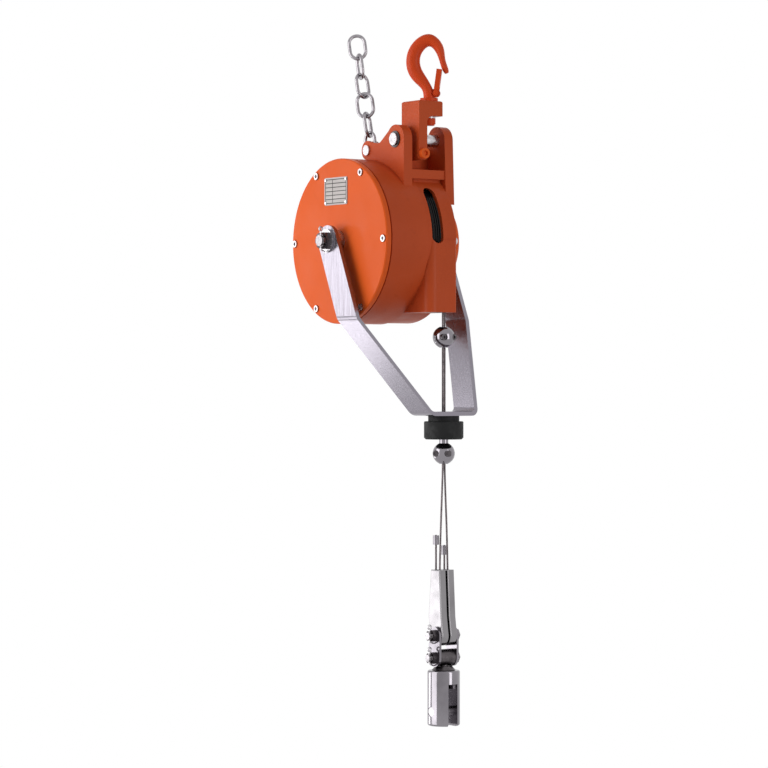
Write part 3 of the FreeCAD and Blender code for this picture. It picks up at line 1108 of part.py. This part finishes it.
def swivel():
    inner = SOCKET_SPACING / 2 + SOCKET_T / 2
    eye = bar_y(EYE_R, ROPE_Y - inner, ROPE_Y + inner, ROPE_X, EYE_BOLT_Z)
    nut_low = FORK_SLOT_TOP_Z - GAP - SWIVEL_NUT_H
    stem = bar_z(EYE_STEM_D / 2, nut_low, EYE_BOLT_Z, ROPE_X, ROPE_Y)
    dome_low = FORK_TOP_Z + GAP
    dome = Part.makeCone(DOME_D / 2, EYE_R, DOME_H, Vector(ROPE_X, ROPE_Y, dome_low), Vector(0, 0, 1))
    body = fuse_all([eye, stem, dome])
    body = body.cut(bar_y(LINK_BOLT_D / 2 + FIT, ROPE_Y - 40, ROPE_Y + 40, ROPE_X, EYE_BOLT_Z))
    save("swivel_eye", body)
    save("swivel_nut", ring_z(SWIVEL_NUT_D / 2, EYE_STEM_D / 2 + SEAT, nut_low, FORK_SLOT_TOP_Z - GAP,
                              ROPE_X, ROPE_Y))


def fork():
    body = bar_z(FORK_D / 2, FORK_TOP_Z - FORK_LEN, FORK_TOP_Z, ROPE_X, ROPE_Y)
    body = body.makeFillet(FORK_ROUND, [edge for edge in body.Edges if edge.BoundBox.ZLength < 0.01])
    half = FORK_SLOT_W / 2
    slot = block(ROPE_X - FORK_D, ROPE_X + FORK_D, ROPE_Y - half, ROPE_Y + half, FORK_TOP_Z - FORK_LEN - 1,
                 FORK_SLOT_TOP_Z)
    tools = [slot, bar_z(EYE_STEM_D / 2 + FIT, FORK_SLOT_TOP_Z - 1, FORK_TOP_Z + 1, ROPE_X, ROPE_Y),
             bar_y(FORK_PIN_D / 2 + SEAT, ROPE_Y - FORK_D, ROPE_Y + FORK_D, ROPE_X, FORK_PIN_Z)]
    save("fork", body.cut(tools))
    reach = FORK_D / 2 - 1.2
    save("fork_pin", bar_y(FORK_PIN_D / 2, ROPE_Y - reach, ROPE_Y + reach, ROPE_X, FORK_PIN_Z))


def write_parts():
    for name, shape in nodes.items():
        shape.exportStep("parts/%s.step" % name)
        good = all(solid.isValid() for solid in shape.Solids)
        print(name, len(shape.Solids), "solid(s)", "" if good else "NOT VALID")


main_housing()
rope_guide()
front_cover()
rating_plate()
rear_cover()
axle_group()
rope_drum()
wound_rope()
cassette()
mainspring()
suspension_pins()
hook_block()
hook()
latch()
chain()
stirrup()
bumper()
clamp("upper_clamp", UPPER_CLAMP_Z, 0, 0)
clamp("lower_clamp", LOWER_CLAMP_Z, CLAMP_NECK_H, LOWER_CLAMP_TURN)
ropes()
sockets()
rope_tails()
links()
swivel()
fork()
write_parts()
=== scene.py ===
import json
import math

import bpy
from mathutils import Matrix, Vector


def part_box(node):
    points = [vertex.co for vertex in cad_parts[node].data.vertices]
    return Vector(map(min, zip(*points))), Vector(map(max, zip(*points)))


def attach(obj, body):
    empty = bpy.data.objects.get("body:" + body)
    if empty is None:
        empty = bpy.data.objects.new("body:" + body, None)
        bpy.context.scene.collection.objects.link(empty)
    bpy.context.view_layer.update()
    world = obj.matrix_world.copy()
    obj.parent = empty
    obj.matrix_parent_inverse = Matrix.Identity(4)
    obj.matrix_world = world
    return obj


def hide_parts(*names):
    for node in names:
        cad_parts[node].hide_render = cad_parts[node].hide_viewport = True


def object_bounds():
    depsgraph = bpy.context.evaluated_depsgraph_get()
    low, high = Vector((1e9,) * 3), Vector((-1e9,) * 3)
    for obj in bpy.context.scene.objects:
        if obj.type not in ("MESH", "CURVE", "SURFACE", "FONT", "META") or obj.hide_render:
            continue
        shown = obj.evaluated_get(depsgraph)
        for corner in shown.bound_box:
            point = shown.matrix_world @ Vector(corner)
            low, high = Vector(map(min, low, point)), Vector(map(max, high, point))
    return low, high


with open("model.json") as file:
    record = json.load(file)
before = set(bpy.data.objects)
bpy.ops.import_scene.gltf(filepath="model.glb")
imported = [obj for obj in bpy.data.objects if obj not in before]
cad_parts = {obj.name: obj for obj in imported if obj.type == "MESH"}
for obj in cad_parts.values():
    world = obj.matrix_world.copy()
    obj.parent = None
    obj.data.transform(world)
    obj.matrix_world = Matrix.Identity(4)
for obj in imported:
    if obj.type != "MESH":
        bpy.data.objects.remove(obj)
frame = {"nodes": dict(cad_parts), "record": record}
cad_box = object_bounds()
nodes = frame["nodes"]
slot_of = {part["node"]: part["material_slot"] for part in frame["record"]["subparts"]}

# ------------------------------------------------------------------ sizes in metres
SADDLE = Vector((0.076, 0.107, 0.282))   # the frame's origin, from the drum axis at the front cover

VIEW_TURN = 54.4          # degrees round from the front
VIEW_DISTANCE = 4.4
LENS = 141.8              # millimetres, as is the sensor's width
SENSOR = 36
AIM = Vector((0.0295, 0.060, -0.2072)) - SADDLE
LAMP_AIM = AIM + Vector((0, 0, 0.25))

FLOOR_DROP = 2.2          # from the lowest point of the hanging part down to the floor
FLOOR_REACH = 8.0
WORLD_STRENGTH = 0.28

ROPE_D = 0.003
ROPE_LAY = 0.019          # length in which a strand goes once round
ROPE_STRANDS = 6
TUBE_SIDES = 6
POINTS_PER_LAY = 10
CORE_SHARE = 1.25         # core's radius against a strand's, so that it fills the middle

# the ropes' routes, from the drum axis
ROPE_X = 0.109
ROPE_Y = 0.109            # middle between the two ropes
DRUM_SPACING = 0.0035     # between the ropes on the drum and in the clamps
SOCKET_SPACING = 0.015    # between the ropes in the wedge sockets
ROPE_TOP_Z = -0.002       # where a rope leaves the drum
SPREAD_Z = -0.3363        # below the lower clamp, where the ropes start to part
STRAIGHT_Z = SPREAD_Z + 6 * ROPE_D    # above here the ropes run straight up
SOCKET_ENTRY_Z = -0.463   # just above the sockets, where the ropes run side by side again
WEDGE_Z = -0.535
TAIL_X = 0.1005
TAIL_MIDDLE_Z = -0.480
FRONT_TAIL_TOP = -0.425
REAR_TAIL_TOP = -0.440

LINK_COUNT = 6
THREAD_PITCH = 0.002

# the blank form on the rating plate: shares of the plate's width and height, then metres
FORM_LEFT = 0.05
FORM_RIGHT = 0.95
FORM_FOOT = 0.07
FORM_TOP = 0.93
FORM_COLUMN = 0.36
FORM_ROWS = 6
RULE_W = 0.0011
INK_PROUD = 0.00008
INK_SUNK = 0.0001


def from_drum(x, y, z):
    """A point given from the drum axis, moved into the frame."""
    return Vector((x, y, z)) - SADDLE


# ------------------------------------------------------------------ materials
class Shader:
    """A principled material that is built up node by node, with patterns laid out in metres."""

    def __init__(self, name, color, metallic, roughness):
        self.material = bpy.data.materials.new(name)
        self.material.use_nodes = True
        self.nodes = self.material.node_tree.nodes
        self.links = self.material.node_tree.links
        self.bsdf = self.nodes["Principled BSDF"]
        self.color = color
        self.bsdf.inputs["Base Color"].default_value = (*color, 1)
        self.bsdf.inputs["Metallic"].default_value = metallic
        self.bsdf.inputs["Roughness"].default_value = roughness
        self.place = self.nodes.new("ShaderNodeTexCoord").outputs["Object"]
        self.bumps = None

    def stretched(self, scale):
        mapping = self.nodes.new("ShaderNodeMapping")
        mapping.inputs["Scale"].default_value = scale
        self.links.new(self.place, mapping.inputs["Vector"])
        return mapping.outputs["Vector"]

    def noise(self, scale, detail=3.0, stretch=None):
        node = self.nodes.new("ShaderNodeTexNoise")
        node.inputs["Scale"].default_value = scale
        node.inputs["Detail"].default_value = detail
        self.links.new(self.stretched(stretch) if stretch else self.place, node.inputs["Vector"])
        return node.outputs["Fac"]

    def ramp(self, pattern, between, values):
        """Spread what the pattern does between two levels over two values."""
        node = self.nodes.new("ShaderNodeMapRange")
        node.inputs["From Min"].default_value, node.inputs["From Max"].default_value = between
        node.inputs["To Min"].default_value, node.inputs["To Max"].default_value = values
        self.links.new(pattern, node.inputs["Value"])
        return node.outputs["Result"]

    def tint(self, other, pattern, between, amounts):
        """Mix another colour over what is there, by a pattern."""
        base = self.bsdf.inputs["Base Color"]
        mix = self.nodes.new("ShaderNodeMix")
        mix.data_type = "RGBA"
        self.links.new(self.ramp(pattern, between, amounts), mix.inputs["Factor"])
        if base.is_linked:
            self.links.new(base.links[0].from_socket, mix.inputs["A"])
        else:
            mix.inputs["A"].default_value = (*self.color, 1)
        mix.inputs["B"].default_value = (*other, 1)
        self.links.new(mix.outputs["Result"], base)

    def rough(self, pattern, between, values):
        self.links.new(self.ramp(pattern, between, values), self.bsdf.inputs["Roughness"])

    def bump(self, pattern, distance, strength):
        """Raise the surface by a pattern, on top of the bumps that it already has."""
        node = self.nodes.new("ShaderNodeBump")
        node.inputs["Distance"].default_value = distance
        node.inputs["Strength"].default_value = strength
        self.links.new(pattern, node.inputs["Height"])
        if self.bumps:
            self.links.new(self.bumps, node.inputs["Normal"])
        self.bumps = node.outputs["Normal"]
        self.links.new(self.bumps, self.bsdf.inputs["Normal"])


def enamel(name, color, dark, peel):
    """Paint on metal: mottling in two sizes, a satin top and orange peel."""
    shader = Shader(name, color, metallic=0.0, roughness=0.38)
    shader.bsdf.inputs["Specular IOR Level"].default_value = 0.14
    shader.tint(dark, shader.noise(7.0, detail=4.0), between=(0.42, 0.78), amounts=(0.0, 0.5))
    shader.tint(dark, shader.noise(90.0, detail=2.0), between=(0.62, 0.78), amounts=(0.0, 0.22))
    shader.rough(shader.noise(30.0), between=(0.3, 0.7), values=(0.32, 0.48))
    shader.bump(shader.noise(420.0, detail=1.0), distance=0.0002, strength=peel)
    shader.bump(shader.noise(45.0, detail=2.0), distance=0.0006, strength=0.35 * peel)
    return shader.material


def brushed(name, color, dark, roughness, stretch):
    """Metal with fine lines drawn out along one direction, and faint clouds."""
    shader = Shader(name, color, metallic=1.0, roughness=roughness)
    lines = shader.noise(900.0, detail=2.0, stretch=stretch)
    shader.tint(dark, lines, between=(0.35, 0.7), amounts=(0.0, 0.3))
    shader.tint(dark, shader.noise(16.0), between=(0.5, 0.8), amounts=(0.0, 0.4))
    shader.rough(lines, between=(0.3, 0.7), values=(roughness - 0.05, roughness + 0.06))
    shader.bump(lines, distance=0.00006, strength=0.35)
    return shader.material


def plated(name, color, dark, roughness):
    """Plated or bare steel: cloudy patches and a faint grain."""
    shader = Shader(name, color, metallic=1.0, roughness=roughness)
    shader.tint(dark, shader.noise(110.0, detail=4.0), between=(0.45, 0.7), amounts=(0.0, 0.6))
    shader.rough(shader.noise(160.0), between=(0.3, 0.7), values=(roughness - 0.08, roughness + 0.12))
    shader.bump(shader.noise(700.0), distance=0.00005, strength=0.4)
    return shader.material


def threaded(name, color, dark, pitch):
    """Plated steel with the ridges of a thread along the drum axis, with painted shade in their roots."""
    shader = Shader(name, color, metallic=1.0, roughness=0.26)
    shader.tint(dark, shader.noise(110.0, detail=4.0), between=(0.45, 0.7), amounts=(0.0, 0.6))
    wave = shader.nodes.new("ShaderNodeTexWave")
    wave.bands_direction = "Y"
    wave.inputs["Scale"].default_value = math.tau / 20 / pitch    # a scale of 1 is 20 radians a metre
    shader.links.new(shader.place, wave.inputs["Vector"])
    ridges = wave.outputs["Fac"]
    # painted shade: the roots between the ridges are darkened, as shade would fall there
    shader.tint(dark, ridges, between=(0.0, 0.5), amounts=(0.55, 0.0))
    shader.bump(ridges, distance=0.5 * pitch, strength=0.7)
    return shader.material


def mirror_chrome(name, color, dark):
    """Polished plate with big dark clouds, a painted reflection of dark surroundings."""
    shader = Shader(name, color, metallic=1.0, roughness=0.09)
    # painted reflection: big dark clouds stand in for dark surroundings mirrored in the plate
    shader.tint(dark, shader.noise(25.0), between=(0.45, 0.75), amounts=(0.0, 0.5))
    shader.rough(shader.noise(60.0, detail=4.0), between=(0.35, 0.75), values=(0.07, 0.18))
    shader.bump(shader.noise(900.0, detail=1.0), distance=0.00002, strength=0.3)
    return shader.material


def moulded(name, color, roughness, grain):
    """Rubber, nylon, ink or black paint: a fine grain and paler scuffs."""
    shader = Shader(name, color, metallic=0.0, roughness=roughness)
    shader.bsdf.inputs["Specular IOR Level"].default_value = 0.25
    pale = tuple(1.8 * c + 0.006 for c in color)
    shader.tint(pale, shader.noise(35.0, detail=5.0), between=(0.55, 0.8), amounts=(0.0, 0.6))
    shader.rough(shader.noise(120.0), between=(0.3, 0.7), values=(roughness - 0.1, roughness + 0.1))
    shader.bump(shader.noise(1400.0, detail=2.0), distance=0.00008, strength=grain)
    return shader.material


def build_materials():
    """Every finish by name: one for each slot of the record, and those of OWN_FINISH and the plate's ink."""
    finishes = {
        "orange_paint": (enamel, dict(color=(0.80, 0.118, 0.016), dark=(0.68, 0.088, 0.010), peel=0.5)),
        # painted shade: the castings get a darker copy of orange_paint, partly a deeper paint and partly
        # shade painted in beside the brighter covers
        "shaded_housing_paint": (enamel, dict(color=(0.56, 0.080, 0.019), dark=(0.38, 0.050, 0.012), peel=0.9)),
        "hook_paint": (enamel, dict(color=(0.72, 0.073, 0.014), dark=(0.46, 0.038, 0.008), peel=0.9)),
        "bright_steel": (brushed, dict(color=(0.26, 0.242, 0.278), dark=(0.19, 0.175, 0.205),
                                       roughness=0.22, stretch=(1, 1, 0.02))),
        "zinc": (plated, dict(color=(0.56, 0.54, 0.56), dark=(0.34, 0.32, 0.34), roughness=0.24)),
        "chain_zinc": (plated, dict(color=(0.33, 0.31, 0.33), dark=(0.13, 0.12, 0.13), roughness=0.17)),
        "dark_steel": (plated, dict(color=(0.10, 0.09, 0.095), dark=(0.035, 0.03, 0.034),
                                    roughness=0.30)),
        "rope_steel": (plated, dict(color=(0.17, 0.145, 0.15), dark=(0.05, 0.042, 0.044),
                                    roughness=0.36)),
        "chrome": (mirror_chrome, dict(color=(0.25, 0.235, 0.255), dark=(0.10, 0.09, 0.105))),
        "socket_plate": (mirror_chrome, dict(color=(0.255, 0.245, 0.255), dark=(0.17, 0.16, 0.17))),
        "thread": (threaded, dict(color=(0.42, 0.40, 0.42), dark=(0.12, 0.11, 0.12),
                                  pitch=THREAD_PITCH)),
        "rubber": (moulded, dict(color=(0.005, 0.0052, 0.0055), roughness=0.62, grain=0.5)),
        "nylon": (moulded, dict(color=(0.012, 0.011, 0.011), roughness=0.48, grain=0.3)),
        "plate": (brushed, dict(color=(0.30, 0.28, 0.27), dark=(0.22, 0.205, 0.20),
                                roughness=0.38, stretch=(0.02, 1, 1))),
        "plate_ink": (moulded, dict(color=(0.020, 0.017, 0.018), roughness=0.5, grain=0.1)),
        "drum_black": (moulded, dict(color=(0.006, 0.006, 0.007), roughness=0.18, grain=0.15)),
        "bronze": (plated, dict(color=(0.55, 0.36, 0.16), dark=(0.32, 0.19, 0.08), roughness=0.35)),
        "spring_steel": (plated, dict(color=(0.20, 0.22, 0.27), dark=(0.09, 0.09, 0.12), roughness=0.35)),
    }
    return {name: make(name, **values) for name, (make, values) in finishes.items()}


# nodes whose finish differs from their slot's
OWN_FINISH = {
    # painted shade: the main housing and hook block in the darker copy of the orange paint
    "shaded_housing_paint": ["main_housing", "hook_block"],
    "hook_paint": ["latch", "latch_pin"],
    "thread": ["axle", "link_bolts"],
    "socket_plate": ["wedge_sockets"],
    "dark_steel": ["upper_clamp_screws", "lower_clamp_screws"],
    "chain_zinc": ["chain_link_%d" % number for number in range(1, LINK_COUNT + 1)],
}


def dress_nodes():
    """Give each CAD node its slot's material, or a finish of its own."""
    finish_of = dict(slot_of)
    for finish, names in OWN_FINISH.items():
        finish_of.update((name, finish) for name in names)
    for name, obj in nodes.items():
        obj.data.materials.clear()
        obj.data.materials.append(materials[finish_of[name]])


# ------------------------------------------------------------------ mesh helpers
def mesh_object(name, verts, faces, material, smooth=True):
    mesh = bpy.data.meshes.new(name)
    mesh.from_pydata([tuple(v) for v in verts], [], faces)
    mesh.validate()
    mesh.polygons.foreach_set("use_smooth", [smooth] * len(mesh.polygons))
    mesh.materials.append(material)
    obj = bpy.data.objects.new(name, mesh)
    bpy.context.scene.collection.objects.link(obj)
    return obj


def carried_frames(path):
    """Each point of a path with two directions across it, carried along so that they don't twist."""
    across = Vector((1, 0, 0))
    for k, point in enumerate(path):
        ahead = (path[min(k + 1, len(path) - 1)] - path[max(k - 1, 0)]).normalized()
        across = (across - ahead * across.dot(ahead)).normalized()
        yield point, across, ahead.cross(across)


def sweep(path, radius, verts, faces):
    """Add a round tube along a path to verts and faces, closed at both ends."""
    first = len(verts)
    for point, across, other in carried_frames(path):
        for side in range(TUBE_SIDES):
            angle = math.tau * side / TUBE_SIDES
            verts.append(point + (across * math.cos(angle) + other * math.sin(angle)) * radius)
    for k in range(len(path) - 1):
        for side in range(TUBE_SIDES):
            a = first + k * TUBE_SIDES + side
            b = first + k * TUBE_SIDES + (side + 1) % TUBE_SIDES
            faces.append((a, b, b + TUBE_SIDES, a + TUBE_SIDES))
    last = first + (len(path) - 1) * TUBE_SIDES
    faces.append(tuple(first + side for side in reversed(range(TUBE_SIDES))))
    faces.append(tuple(last + side for side in range(TUBE_SIDES)))


def add_box(low, high, verts, faces):
    """Add a box to verts and faces, given its lowest and highest corners."""
    first = len(verts)
    for y in (low.y, high.y):
        corners = ((low.x, low.z), (high.x, low.z), (high.x, high.z), (low.x, high.z))
        verts += [Vector((x, y, z)) for x, z in corners]
    sides = ((0, 1, 2, 3), (7, 6, 5, 4), (0, 4, 5, 1), (1, 5, 6, 2), (2, 6, 7, 3), (3, 7, 4, 0))
    faces += [tuple(first + k for k in side) for side in sides]


# ------------------------------------------------------------------ camera, light and stage
def direction(turn, lift):
    """Unit vector towards a place so far round from the front and so far up, in radians."""
    return Vector((math.sin(turn) * math.cos(lift), -math.cos(turn) * math.cos(lift), math.sin(lift)))


def make_camera():
    turn = math.radians(VIEW_TURN)
    camera = bpy.data.objects.new("camera", bpy.data.cameras.new("camera"))
    bpy.context.scene.collection.objects.link(camera)
    camera.location = AIM + direction(turn, 0) * VIEW_DISTANCE
    camera.rotation_euler = (math.radians(90), 0, turn)
    camera.data.lens = LENS
    camera.data.sensor_width = SENSOR
    camera.data.clip_end = 50
    bpy.context.scene.camera = camera


def soft_lamp(name, azimuth, elevation, distance, wide, tall, radiance):
    """Rectangular soft box that faces the part, its azimuth in degrees round from the camera's."""
    away = direction(math.radians(VIEW_TURN + azimuth), math.radians(elevation))
    data = bpy.data.lights.new(name, "AREA")
    data.shape = "RECTANGLE"
    data.size = wide
    data.size_y = tall
    data.energy = math.pi * wide * tall * radiance
    lamp = bpy.data.objects.new(name, data)
    bpy.context.scene.collection.objects.link(lamp)
    lamp.location = LAMP_AIM + away * distance
    lamp.rotation_euler = away.to_track_quat("Z", "Y").to_euler()


def make_lamps():
    """A large key light, a narrow one on the other side, and three small ones for glints on the steel."""
    soft_lamp("key", azimuth=-72, elevation=5, distance=2.4, wide=2.0, tall=2.6, radiance=2.9)
    soft_lamp("side", azimuth=50, elevation=4, distance=2.8, wide=0.9, tall=2.6, radiance=3.1)
    soft_lamp("arm_glint", azimuth=-109, elevation=1, distance=2.4, wide=0.5, tall=0.42, radiance=3.4)
    soft_lamp("run_glint", azimuth=-124, elevation=-34, distance=1.6, wide=0.45, tall=0.26, radiance=3.4)
    soft_lamp("low_glint", azimuth=-112, elevation=-17, distance=2.5, wide=0.5, tall=0.5, radiance=3.2)


def seen_rays(tree):
    """A factor that is 1 for camera, glossy and transmission rays, and 0 for the others."""
    path = tree.nodes.new("ShaderNodeLightPath")
    rays = path.outputs["Is Camera Ray"]
    for more in ("Is Glossy Ray", "Is Transmission Ray"):
        both = tree.nodes.new("ShaderNodeMath")
        both.operation = "MAXIMUM"
        tree.links.new(rays, both.inputs[0])
        tree.links.new(path.outputs[more], both.inputs[1])
        rays = both.outputs[0]
    return rays


def make_world():
    """White where it is seen or mirrored, and a weak fill light everywhere else."""
    world = bpy.data.worlds.new("world")
    bpy.context.scene.world = world
    world.use_nodes = True
    tree = world.node_tree
    strength = tree.nodes.new("ShaderNodeMapRange")
    strength.inputs["To Min"].default_value = WORLD_STRENGTH
    strength.inputs["To Max"].default_value = 1.0
    tree.links.new(seen_rays(tree), strength.inputs["Value"])
    background = tree.nodes["Background"]
    background.inputs["Color"].default_value = (1, 1, 1, 1)
    tree.links.new(strength.outputs["Result"], background.inputs["Strength"])


def make_floor():
    """Pale floor well below the hanging part, white where it is seen or mirrored."""
    shader = Shader("floor", (0.86, 0.86, 0.86), metallic=0.0, roughness=0.9)
    tree = shader.material.node_tree
    glow = tree.nodes.new("ShaderNodeEmission")
    mix = tree.nodes.new("ShaderNodeMixShader")
    tree.links.new(seen_rays(tree), mix.inputs["Fac"])
    tree.links.new(shader.bsdf.outputs[0], mix.inputs[1])
    tree.links.new(glow.outputs[0], mix.inputs[2])
    tree.links.new(mix.outputs[0], tree.nodes["Material Output"].inputs["Surface"])
    level = cad_box[0][2] - FLOOR_DROP
    ways = ((-1, -1), (1, -1), (1, 1), (-1, 1))
    corners = [(x * FLOOR_REACH, y * FLOOR_REACH, level) for x, y in ways]
    mesh_object("floor", corners, [(0, 1, 2, 3)], shader.material)


def make_stage():
    make_camera()
    make_lamps()
    make_world()
    make_floor()
    bpy.context.scene.view_settings.view_transform = "Standard"


# ------------------------------------------------------------------ ropes
def spline_points(name, route):
    """Points along the smooth line that follows a route: a NURBS spline with the route's control points."""
    curve = bpy.data.curves.new(name, "CURVE")
    curve.dimensions = "3D"
    curve.resolution_u = 24
    spline = curve.splines.new("NURBS")
    spline.points.add(len(route) - 1)
    for point, place in zip(spline.points, route):
        point.co = (*place, 1)
    spline.order_u = 3
    spline.use_endpoint_u = True
    holder = bpy.data.objects.new(name, curve)
    bpy.context.scene.collection.objects.link(holder)
    bpy.context.view_layer.update()
    mesh = bpy.data.meshes.new_from_object(holder)
    points = [vertex.co.copy() for vertex in mesh.vertices]
    bpy.data.objects.remove(holder)
    return points


def even_points(points, step):
    """Places a step apart along the spline's own line, from its first point on, and its last point."""
    result = [points[0].copy()]
    carry = 0.0
    for one, two in zip(points, points[1:]):
        length = (two - one).length
        place = step - carry
        while place < length:
            result.append(one.lerp(two, place / length))
            place += step
        carry = (carry + length) % step
    result.append(points[-1].copy())
    return result


def strand_path(line, ring_r, turned):
    """One strand's helix round a line, which starts the given share of a turn round."""
    path = []
    travelled = 0.0
    before = line[0]
    for point, across, other in carried_frames(line):
        travelled += (point - before).length
        before = point
        angle = math.tau * (travelled / ROPE_LAY + turned)
        path.append(point + (across * math.cos(angle) + other * math.sin(angle)) * ring_r)
    return path


def strands(name, line):
    """Wire rope along a line: its strands, laid round a core."""
    strand_r = ROPE_D / 6    # three strands lie side by side across the rope
    line = even_points(line, ROPE_LAY / POINTS_PER_LAY)
    verts = []
    faces = []
    sweep(line, strand_r * CORE_SHARE, verts, faces)
    for number in range(ROPE_STRANDS):
        path = strand_path(line, ROPE_D / 2 - strand_r, number / ROPE_STRANDS)
        sweep(path, strand_r, verts, faces)
    return mesh_object(name, verts, faces, materials["rope_steel"])


def wire_rope(name, node, route):
    """One wire rope along a CAD route, shown in place of a node."""
    line = spline_points(name + "_line", route)
    rope = strands(name, line)
    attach(rope, "ropes")
    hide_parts(node)


def make_ropes():
    """The two load ropes, from the drum down to their wedges, and their dead ends up to the ferrules."""
    for side, end, tail_top in ((-1, "front", FRONT_TAIL_TOP), (1, "rear", REAR_TAIL_TOP)):
        near = ROPE_Y + side * DRUM_SPACING / 2
        far = ROPE_Y + side * SOCKET_SPACING / 2
        load = [from_drum(ROPE_X, near, ROPE_TOP_Z), from_drum(ROPE_X, near, STRAIGHT_Z),
                from_drum(ROPE_X, near, SPREAD_Z), from_drum(ROPE_X, far, SOCKET_ENTRY_Z),
                from_drum(ROPE_X, far, WEDGE_Z)]
        wire_rope("rope_" + end + "_strands", "rope_" + end, load)
        tail = [from_drum(TAIL_X, far, z) for z in (WEDGE_Z, TAIL_MIDDLE_Z, tail_top)]
        wire_rope("tail_" + end + "_strands", "rope_tails", tail)


# ------------------------------------------------------------------ rating plate
def make_plate_ruling():
    """Blank ruled form printed on the rating plate: a frame, ruled lines and one column line."""
    low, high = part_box("rating_plate")
    wide = high.x - low.x
    tall = high.z - low.z
    row = (FORM_TOP - FORM_FOOT) / FORM_ROWS
    levels = [FORM_FOOT + row * k for k in range(FORM_ROWS + 1)]
    rules = [(FORM_LEFT * wide, FORM_RIGHT * wide, z * tall - RULE_W / 2, z * tall + RULE_W / 2)
             for z in levels]
    rules += [(x * wide - RULE_W / 2, x * wide + RULE_W / 2, FORM_FOOT * tall, FORM_TOP * tall)
              for x in (FORM_LEFT, FORM_COLUMN, FORM_RIGHT)]
    verts = []
    faces = []
    for x0, x1, z0, z1 in rules:
        add_box(low + Vector((x0, -INK_PROUD, z0)), low + Vector((x1, INK_SUNK, z1)), verts, faces)
    ruling = mesh_object("plate_ruling", verts, faces, materials["plate_ink"], smooth=False)
    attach(ruling, "casing")


materials = build_materials()
dress_nodes()
make_stage()
make_ropes()
make_plate_ruling()
